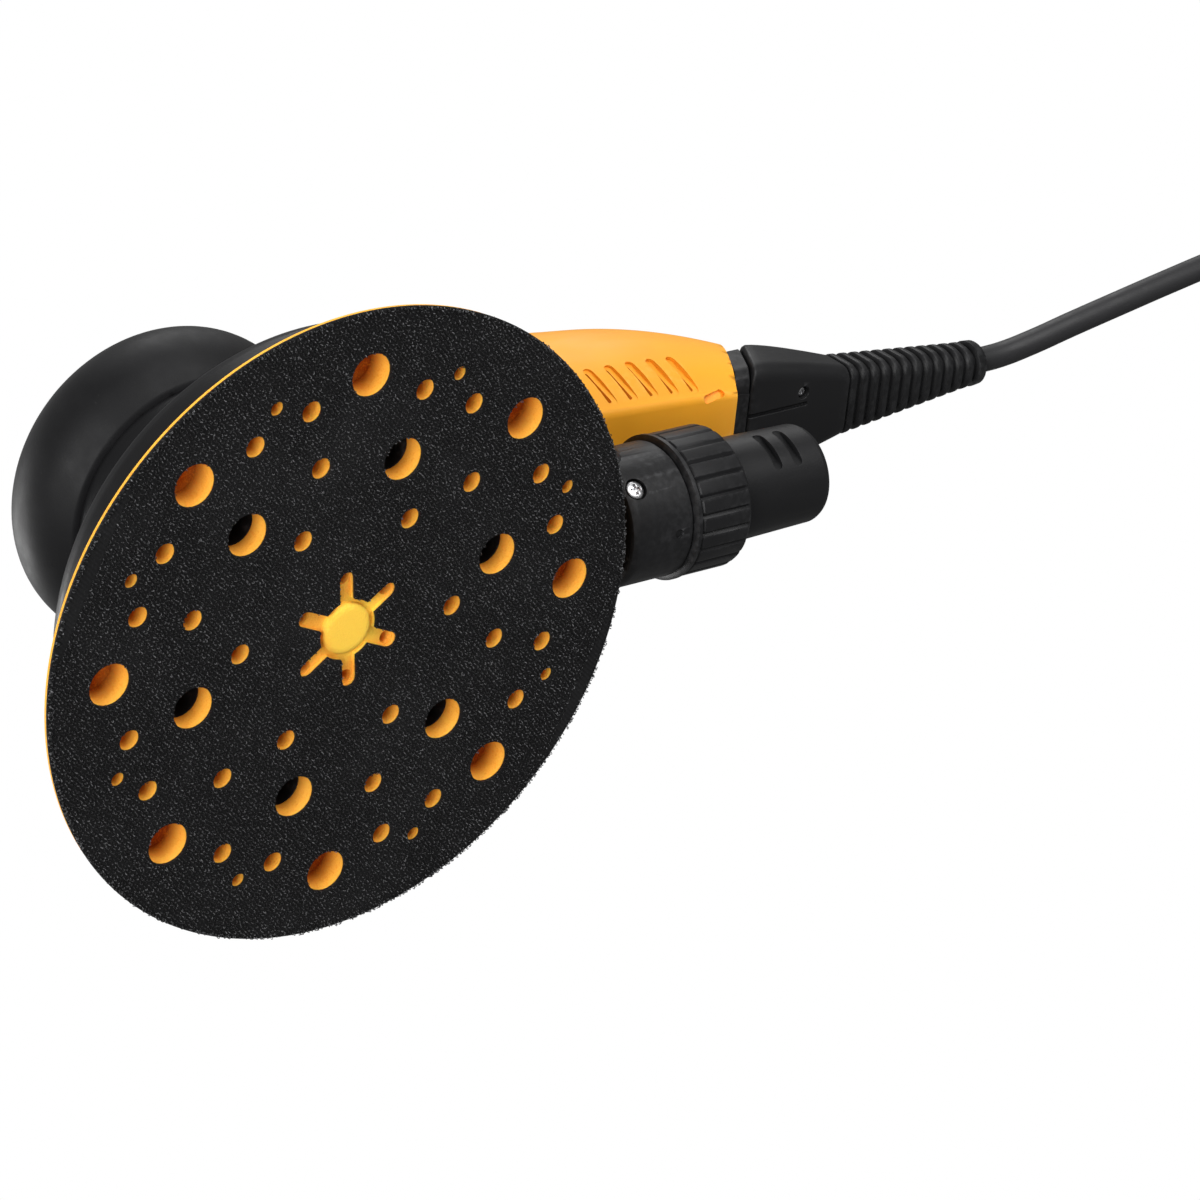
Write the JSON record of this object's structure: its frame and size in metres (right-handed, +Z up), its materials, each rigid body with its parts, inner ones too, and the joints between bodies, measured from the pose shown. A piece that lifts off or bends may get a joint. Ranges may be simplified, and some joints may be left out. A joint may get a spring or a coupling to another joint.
{
  "type": "orbital sander",
  "caption": "Palm-grip random-orbital sander with a round multi-hole hook pad, rear handle, paddle lever, swivelling dust outlet and a ribbed cable entry with coiled mains cable.",
  "frame": {"origin": "where the motor spindle's axis meets the foam disc in the middle of the pad, level with the hook face to 0.5 mm", "axes": "+Z up the motor spindle from pad to head, +Y towards the handle's rear, the dust outlet and the cable, +X to the right seen from the cable end"},
  "size_m": [0.1844, 0.5229, 0.1012],
  "materials": {
    "yellow_shell": "satin",
    "pad_foam": "matte",
    "hook_fabric": "matte",
    "black_plastic": "satin",
    "soft_rubber": "matte",
    "grey_plastic": "satin",
    "steel": "satin",
    "aluminium": "satin",
    "copper_winding": "satin",
    "magnet": "satin",
    "circuit_board": "gloss",
    "lamp_lens": "gloss",
    "cable_rubber": "satin",
    "tie_fabric": "matte"
  },
  "bodies": {
    "housing": {"lower_bearing": "steel", "bearing_bridge": "aluminium", "stator": "copper_winding", "upper_bearing": "steel", "motor_cap": "aluminium", "motor_housing": "black_plastic", "grip_dome": "soft_rubber", "head_frame": "grey_plastic", "pad_shroud": "black_plastic", "brake_seal": "soft_rubber", "exhaust_body": "black_plastic", "exhaust_screw": "steel", "handle_shell_right": "yellow_shell", "handle_shell_left": "yellow_shell", "shell_screw_1": "steel", "shell_screw_2": "steel", "shell_screw_3": "steel", "shell_screw_4": "steel", "circuit_board": "circuit_board", "capacitor_1": "magnet", "capacitor_2": "magnet", "lever_sensor": "black_plastic", "lever_pin": "steel", "control_panel": "black_plastic", "status_lamp": "lamp_lens", "inlet_socket": "black_plastic", "connector_body": "black_plastic", "connector_screw": "steel", "strain_relief": "soft_rubber", "cord_lead": "cable_rubber", "cord_tail": "cable_rubber", "cord_coil": "cable_rubber", "cord_tie": "tie_fabric", "plug_body": "black_plastic", "plug_pin_1": "steel", "plug_pin_2": "steel"},
    "pad": {"pad_hook_face": "hook_fabric", "pad_foam": "pad_foam", "pad_backing_plate": "grey_plastic", "pad_stud": "steel", "pad_washer": "steel", "pad_spindle": "steel"},
    "rotor": {"rotor_shaft": "steel", "eccentric_bearing": "steel", "counterweight": "steel", "cooling_fan": "grey_plastic", "rotor_magnet": "magnet"},
    "lever": {"lever": "black_plastic", "lever_magnet": "magnet"},
    "power_button": {"power_button": "grey_plastic"},
    "speed_up_button": {"speed_up_button": "grey_plastic"},
    "speed_down_button": {"speed_down_button": "grey_plastic"},
    "collar": {"collar_ring": "soft_rubber"},
    "nozzle": {"outlet_nozzle": "black_plastic"}
  },
  "joints": [
    {"name": "rotor_spin", "type": "hinge", "parent": "housing", "child": "rotor", "pos_m": [0, 0, 0.06], "axis": [0, 0, 1], "continuous": true},
    {"name": "pad_spin", "type": "hinge", "parent": "rotor", "child": "pad", "pos_m": [0, -0.0025, 0.03], "axis": [0, 0, 1], "continuous": true},
    {"name": "lever_press", "type": "hinge", "parent": "housing", "child": "lever", "pos_m": [0, 0.046, 0.0836], "axis": [1, 0, 0], "range_deg": [-5.5, 0], "stiffness_Nm_per_rad": 1.5, "springref_deg": 5.73},
    {"name": "power_button_press", "type": "slide", "parent": "housing", "child": "power_button", "axis": [0, 0.2124, 0.9772], "range_m": [-0.0008, 0], "stiffness_N_per_m": 400, "springref_m": 0.001},
    {"name": "speed_up_button_press", "type": "slide", "parent": "housing", "child": "speed_up_button", "axis": [0, 0.2124, 0.9772], "range_m": [-0.0008, 0], "stiffness_N_per_m": 400, "springref_m": 0.001},
    {"name": "speed_down_button_press", "type": "slide", "parent": "housing", "child": "speed_down_button", "axis": [0, 0.2124, 0.9772], "range_m": [-0.0008, 0], "stiffness_N_per_m": 400, "springref_m": 0.001},
    {"name": "collar_turn", "type": "hinge", "parent": "housing", "child": "collar", "pos_m": [0, 0.104, 0.02], "axis": [0, 1, 0], "range_deg": [0, 45]},
    {"name": "nozzle_swivel", "type": "hinge", "parent": "housing", "child": "nozzle", "pos_m": [0, 0.118, 0.02], "axis": [0, 1, 0], "continuous": true}
  ]
}
